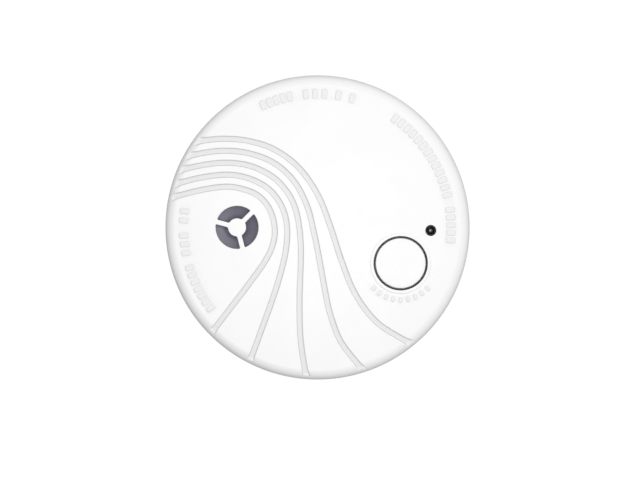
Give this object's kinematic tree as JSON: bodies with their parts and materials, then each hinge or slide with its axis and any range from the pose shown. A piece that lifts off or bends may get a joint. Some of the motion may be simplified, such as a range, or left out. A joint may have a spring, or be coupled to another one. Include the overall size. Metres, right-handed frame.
{
  "type": "smoke detector",
  "caption": "Round ceiling smoke alarm with a grooved domed cover, sounder outlet, test button, status light and a twist-lock mounting base.",
  "frame": {"origin": "centre of the mounting base's flat back face, which goes against the ceiling", "axes": "+Z out of the ceiling towards the room, +X to the right and +Y up as the face is seen from the room, with the sounder outlet on the left and the test button at the lower right"},
  "size_m": [0.112, 0.112, 0.038],
  "materials": {
    "white_shell": "satin white ABS with a fine moulded texture",
    "white_base": "matt white ABS",
    "horn_grey": "matt dark grey plastic",
    "black_plastic": "matt black",
    "green_board": "green solder mask on glass fibre board",
    "steel": "zinc or nickel plated steel",
    "brass": "rolled brass",
    "ceramic": "silvered piezo ceramic",
    "clear_plastic": "clear moulded resin",
    "gauze": "dark woven stainless steel",
    "battery_can": "can with a printed wrap, blank here",
    "coil": "enamelled copper wire on a ferrite drum",
    "label": "blank silver polyester label"
  },
  "bodies": {
    "base_body": {"mounting_base": "white_base"},
    "head_body": {"front_cover": "white_shell", "rear_housing": "white_shell", "inlet_grille": "white_shell", "circuit_board": "green_board", "microcontroller": "black_plastic", "capacitor": "steel", "horn_coil": "coil", "chamber_base": "black_plastic", "chamber_cap": "black_plastic", "insect_gauze": "gauze", "ir_emitter": "clear_plastic", "photodiode": "black_plastic", "sounder_horn": "horn_grey", "piezo_plate": "brass", "piezo_ceramic": "ceramic", "sounder_contact_1": "steel", "sounder_contact_2": "steel", "sounder_contact_3": "steel", "led_sleeve": "black_plastic", "light_guide": "clear_plastic", "status_led": "clear_plastic", "button_retainer": "white_base", "button_ring": "black_plastic", "button_spring": "steel", "tact_switch": "black_plastic", "battery": "battery_can", "battery_cradle": "black_plastic", "battery_tab_positive": "steel", "battery_tab_negative": "steel", "base_switch": "black_plastic", "case_screw_1": "steel", "case_screw_2": "steel", "case_screw_3": "steel", "board_screw_1": "steel", "board_screw_2": "steel", "board_screw_3": "steel", "rating_label": "label"},
    "button_body": {"test_button": "white_shell", "tact_switch_plunger": "black_plastic"},
    "pin_body": {"base_switch_pin": "white_base"}
  },
  "joints": [
    {"name": "bayonet_twist", "type": "hinge", "parent": "base_body", "child": "head_body", "pos_m": [0, 0, 0.005], "axis": [0, 0, 1], "range_deg": [0, 20]},
    {"name": "button_press", "type": "slide", "parent": "head_body", "child": "button_body", "axis": [0, 0, -1], "range_m": [0, 0.001], "stiffness_N_per_m": 500, "springref_m": -0.003, "deforming": ["button_spring"]},
    {"name": "base_switch_pin_slide", "type": "slide", "parent": "head_body", "child": "pin_body", "axis": [0, 0, -1], "range_m": [0, 0.002]}
  ],
  "couplings": [
    {"joint": "base_switch_pin_slide", "follows": "bayonet_twist", "m_per_rad": 0.0057295}
  ]
}
